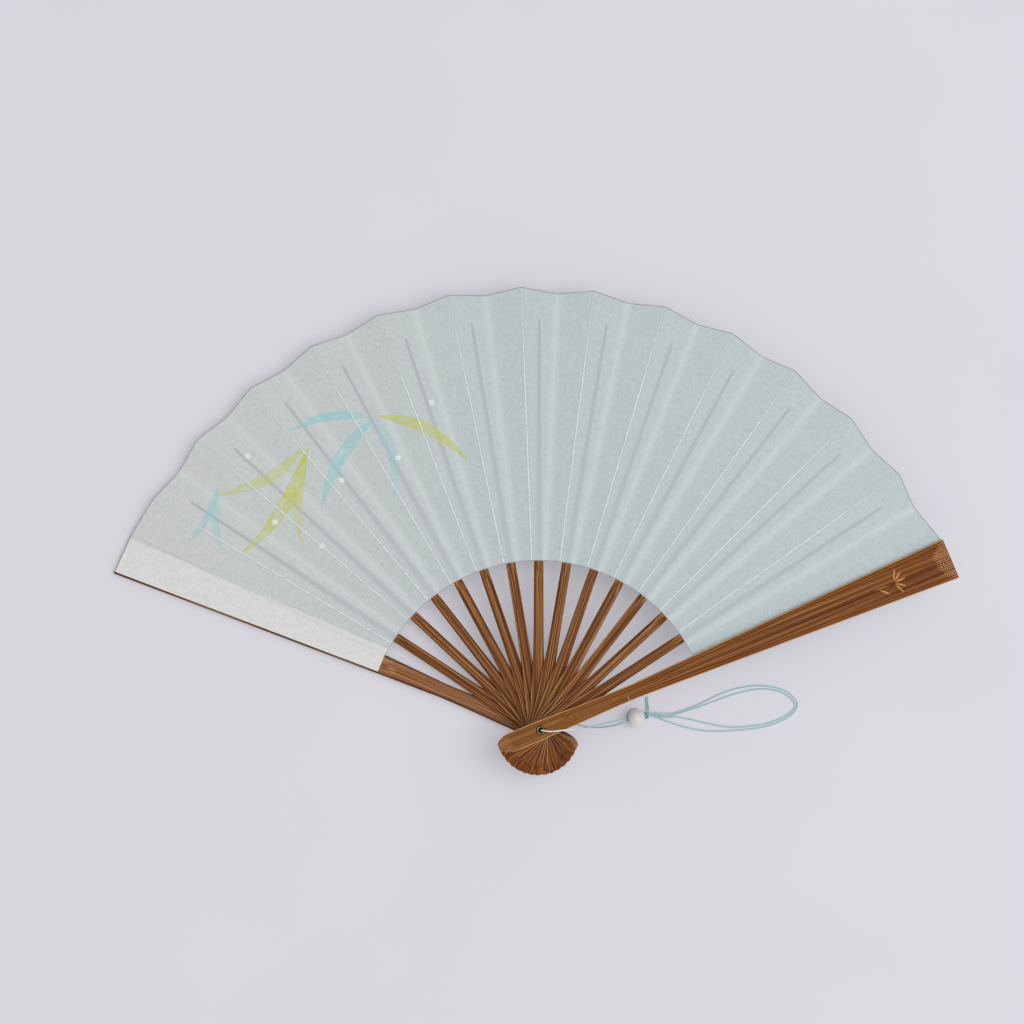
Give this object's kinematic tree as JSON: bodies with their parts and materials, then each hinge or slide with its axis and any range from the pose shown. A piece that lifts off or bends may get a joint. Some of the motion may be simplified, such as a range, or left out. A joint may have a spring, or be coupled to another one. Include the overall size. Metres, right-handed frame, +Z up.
{
  "type": "folding fan",
  "caption": "Folding hand fan with bamboo sticks that turn on an eyelet, a pleated paper leaf and a beaded wrist cord.",
  "frame": {"origin": "centre of the open fan's footprint, on the surface that it lies on", "axes": "+Z up along the eyelet, +Y from the head to the leaf's outer edge, +X towards the front guard's tip"},
  "size_m": [0.3594, 0.2089, 0.0228],
  "materials": {
    "bamboo": "smoked bamboo, oiled",
    "leaf_paper": "pale mint, matte",
    "end_paper": "white, matte",
    "eyelet_brass": "satin",
    "cord_thread": "pale aqua thread",
    "bead_white": "satin white"
  },
  "bodies": {
    "rear_guard": {"guard_rear": "bamboo", "leaf_end_rear": "end_paper", "eyelet": "eyelet_brass", "eyelet_washer": "eyelet_brass", "cord_eyelet_loop": "cord_thread", "cord_loop_outer": "cord_thread", "cord_loop_inner": "cord_thread", "bead": "bead_white", "knot": "cord_thread"},
    "front_guard": {"guard_front": "bamboo", "leaf_end_front": "end_paper"},
    "rib_01": {"rib_01": "bamboo", "leaf_sleeve_01": "leaf_paper"},
    "rib_02": {"rib_02": "bamboo", "leaf_sleeve_02": "leaf_paper"},
    "rib_03": {"rib_03": "bamboo", "leaf_sleeve_03": "leaf_paper"},
    "rib_04": {"rib_04": "bamboo", "leaf_sleeve_04": "leaf_paper"},
    "rib_05": {"rib_05": "bamboo", "leaf_sleeve_05": "leaf_paper"},
    "rib_06": {"rib_06": "bamboo", "leaf_sleeve_06": "leaf_paper"},
    "rib_07": {"rib_07": "bamboo", "leaf_sleeve_07": "leaf_paper"},
    "rib_08": {"rib_08": "bamboo", "leaf_sleeve_08": "leaf_paper"},
    "rib_09": {"rib_09": "bamboo", "leaf_sleeve_09": "leaf_paper"},
    "rib_10": {"rib_10": "bamboo", "leaf_sleeve_10": "leaf_paper"},
    "rib_11": {"rib_11": "bamboo", "leaf_sleeve_11": "leaf_paper"},
    "rib_12": {"rib_12": "bamboo", "leaf_sleeve_12": "leaf_paper"},
    "rib_13": {"rib_13": "bamboo", "leaf_sleeve_13": "leaf_paper"},
    "pleat_00": {"leaf_pleat_00": "leaf_paper"},
    "pleat_01": {"leaf_pleat_01": "leaf_paper"},
    "pleat_02": {"leaf_pleat_02": "leaf_paper"},
    "pleat_03": {"leaf_pleat_03": "leaf_paper"},
    "pleat_04": {"leaf_pleat_04": "leaf_paper"},
    "pleat_05": {"leaf_pleat_05": "leaf_paper"},
    "pleat_06": {"leaf_pleat_06": "leaf_paper"},
    "pleat_07": {"leaf_pleat_07": "leaf_paper"},
    "pleat_08": {"leaf_pleat_08": "leaf_paper"},
    "pleat_09": {"leaf_pleat_09": "leaf_paper"},
    "pleat_10": {"leaf_pleat_10": "leaf_paper"},
    "pleat_11": {"leaf_pleat_11": "leaf_paper"},
    "pleat_12": {"leaf_pleat_12": "leaf_paper"},
    "pleat_13": {"leaf_pleat_13": "leaf_paper"}
  },
  "joints": [
    {"name": "fan_close", "type": "hinge", "parent": "rear_guard", "child": "front_guard", "pos_m": [0, -0.08565, 0], "axis": [0, 0, 1], "range_deg": [0, 134.6]},
    {"name": "rib_01_turn", "type": "hinge", "parent": "rear_guard", "child": "rib_01", "pos_m": [0, -0.08565, 0], "axis": [0, 0, 1], "range_deg": [0, 10.31]},
    {"name": "rib_02_turn", "type": "hinge", "parent": "rear_guard", "child": "rib_02", "pos_m": [0, -0.08565, 0], "axis": [0, 0, 1], "range_deg": [0, 19.81]},
    {"name": "rib_03_turn", "type": "hinge", "parent": "rear_guard", "child": "rib_03", "pos_m": [0, -0.08565, 0], "axis": [0, 0, 1], "range_deg": [0, 29.31]},
    {"name": "rib_04_turn", "type": "hinge", "parent": "rear_guard", "child": "rib_04", "pos_m": [0, -0.08565, 0], "axis": [0, 0, 1], "range_deg": [0, 38.81]},
    {"name": "rib_05_turn", "type": "hinge", "parent": "rear_guard", "child": "rib_05", "pos_m": [0, -0.08565, 0], "axis": [0, 0, 1], "range_deg": [0, 48.31]},
    {"name": "rib_06_turn", "type": "hinge", "parent": "rear_guard", "child": "rib_06", "pos_m": [0, -0.08565, 0], "axis": [0, 0, 1], "range_deg": [0, 57.81]},
    {"name": "rib_07_turn", "type": "hinge", "parent": "rear_guard", "child": "rib_07", "pos_m": [0, -0.08565, 0], "axis": [0, 0, 1], "range_deg": [0, 67.31]},
    {"name": "rib_08_turn", "type": "hinge", "parent": "rear_guard", "child": "rib_08", "pos_m": [0, -0.08565, 0], "axis": [0, 0, 1], "range_deg": [0, 76.81]},
    {"name": "rib_09_turn", "type": "hinge", "parent": "rear_guard", "child": "rib_09", "pos_m": [0, -0.08565, 0], "axis": [0, 0, 1], "range_deg": [0, 86.31]},
    {"name": "rib_10_turn", "type": "hinge", "parent": "rear_guard", "child": "rib_10", "pos_m": [0, -0.08565, 0], "axis": [0, 0, 1], "range_deg": [0, 95.81]},
    {"name": "rib_11_turn", "type": "hinge", "parent": "rear_guard", "child": "rib_11", "pos_m": [0, -0.08565, 0], "axis": [0, 0, 1], "range_deg": [0, 105.31]},
    {"name": "rib_12_turn", "type": "hinge", "parent": "rear_guard", "child": "rib_12", "pos_m": [0, -0.08565, 0], "axis": [0, 0, 1], "range_deg": [0, 114.81]},
    {"name": "rib_13_turn", "type": "hinge", "parent": "rear_guard", "child": "rib_13", "pos_m": [0, -0.08565, 0], "axis": [0, 0, 1], "range_deg": [0, 124.31]},
    {"name": "pleat_01_fold", "type": "hinge", "parent": "rib_01", "child": "pleat_01", "pos_m": [0, -0.08565, 0.00425], "axis": [-0.752, 0.5268, 0.3962], "range_deg": [0, 11.99]},
    {"name": "pleat_02_fold", "type": "hinge", "parent": "rib_02", "child": "pleat_02", "pos_m": [0, -0.08565, 0.00555], "axis": [-0.6548, 0.6437, 0.3962], "range_deg": [0, 11.99]},
    {"name": "pleat_03_fold", "type": "hinge", "parent": "rib_03", "child": "pleat_03", "pos_m": [0, -0.08565, 0.00685], "axis": [-0.5395, 0.7429, 0.3962], "range_deg": [0, 11.99]},
    {"name": "pleat_04_fold", "type": "hinge", "parent": "rib_04", "child": "pleat_04", "pos_m": [0, -0.08565, 0.00815], "axis": [-0.4095, 0.8218, 0.3962], "range_deg": [0, 11.99]},
    {"name": "pleat_05_fold", "type": "hinge", "parent": "rib_05", "child": "pleat_05", "pos_m": [0, -0.08565, 0.00945], "axis": [-0.2683, 0.8781, 0.3962], "range_deg": [0, 11.99]},
    {"name": "pleat_06_fold", "type": "hinge", "parent": "rib_06", "child": "pleat_06", "pos_m": [0, -0.08565, 0.01075], "axis": [-0.1197, 0.9103, 0.3962], "range_deg": [0, 11.99]},
    {"name": "pleat_07_fold", "type": "hinge", "parent": "rib_07", "child": "pleat_07", "pos_m": [0, -0.08565, 0.01205], "axis": [0.0322, 0.9176, 0.3962], "range_deg": [0, 11.99]},
    {"name": "pleat_08_fold", "type": "hinge", "parent": "rib_08", "child": "pleat_08", "pos_m": [0, -0.08565, 0.01335], "axis": [0.1832, 0.8997, 0.3962], "range_deg": [0, 11.99]},
    {"name": "pleat_09_fold", "type": "hinge", "parent": "rib_09", "child": "pleat_09", "pos_m": [0, -0.08565, 0.01465], "axis": [0.3292, 0.8571, 0.3962], "range_deg": [0, 11.99]},
    {"name": "pleat_10_fold", "type": "hinge", "parent": "rib_10", "child": "pleat_10", "pos_m": [0, -0.08565, 0.01595], "axis": [0.4662, 0.791, 0.3962], "range_deg": [0, 11.99]},
    {"name": "pleat_11_fold", "type": "hinge", "parent": "rib_11", "child": "pleat_11", "pos_m": [0, -0.08565, 0.01725], "axis": [0.5903, 0.7032, 0.3962], "range_deg": [0, 11.99]},
    {"name": "pleat_12_fold", "type": "hinge", "parent": "rib_12", "child": "pleat_12", "pos_m": [0, -0.08565, 0.01855], "axis": [0.6983, 0.5962, 0.3962], "range_deg": [0, 11.99]},
    {"name": "pleat_00_fold", "type": "hinge", "parent": "rear_guard", "child": "pleat_00", "pos_m": [0, -0.08565, 0.0031], "axis": [-0.6631, 0.2823, 0.6932], "range_deg": [0, 7.65]},
    {"name": "pleat_13_fold", "type": "hinge", "parent": "front_guard", "child": "pleat_13", "pos_m": [0, -0.08565, 0.0197], "axis": [0.6631, 0.2823, -0.6932], "range_deg": [0, 7.65]}
  ],
  "couplings": [
    {"joint": "rib_01_turn", "follows": "fan_close", "ratio": 0.076523},
    {"joint": "rib_02_turn", "follows": "fan_close", "ratio": 0.1471},
    {"joint": "rib_03_turn", "follows": "fan_close", "ratio": 0.21768},
    {"joint": "rib_04_turn", "follows": "fan_close", "ratio": 0.28826},
    {"joint": "rib_05_turn", "follows": "fan_close", "ratio": 0.35884},
    {"joint": "rib_06_turn", "follows": "fan_close", "ratio": 0.42942},
    {"joint": "rib_07_turn", "follows": "fan_close", "ratio": 0.5},
    {"joint": "rib_08_turn", "follows": "fan_close", "ratio": 0.57058},
    {"joint": "rib_09_turn", "follows": "fan_close", "ratio": 0.64116},
    {"joint": "rib_10_turn", "follows": "fan_close", "ratio": 0.71174},
    {"joint": "rib_11_turn", "follows": "fan_close", "ratio": 0.78232},
    {"joint": "rib_12_turn", "follows": "fan_close", "ratio": 0.8529},
    {"joint": "rib_13_turn", "follows": "fan_close", "ratio": 0.92348},
    {"joint": "pleat_01_fold", "follows": "fan_close", "ratio": 0.089034},
    {"joint": "pleat_02_fold", "follows": "fan_close", "ratio": 0.089034},
    {"joint": "pleat_03_fold", "follows": "fan_close", "ratio": 0.089034},
    {"joint": "pleat_04_fold", "follows": "fan_close", "ratio": 0.089034},
    {"joint": "pleat_05_fold", "follows": "fan_close", "ratio": 0.089034},
    {"joint": "pleat_06_fold", "follows": "fan_close", "ratio": 0.089034},
    {"joint": "pleat_07_fold", "follows": "fan_close", "ratio": 0.089034},
    {"joint": "pleat_08_fold", "follows": "fan_close", "ratio": 0.089034},
    {"joint": "pleat_09_fold", "follows": "fan_close", "ratio": 0.089034},
    {"joint": "pleat_10_fold", "follows": "fan_close", "ratio": 0.089034},
    {"joint": "pleat_11_fold", "follows": "fan_close", "ratio": 0.089034},
    {"joint": "pleat_12_fold", "follows": "fan_close", "ratio": 0.089034},
    {"joint": "pleat_00_fold", "follows": "fan_close", "ratio": 0.056759},
    {"joint": "pleat_13_fold", "follows": "fan_close", "ratio": 0.056759}
  ]
}
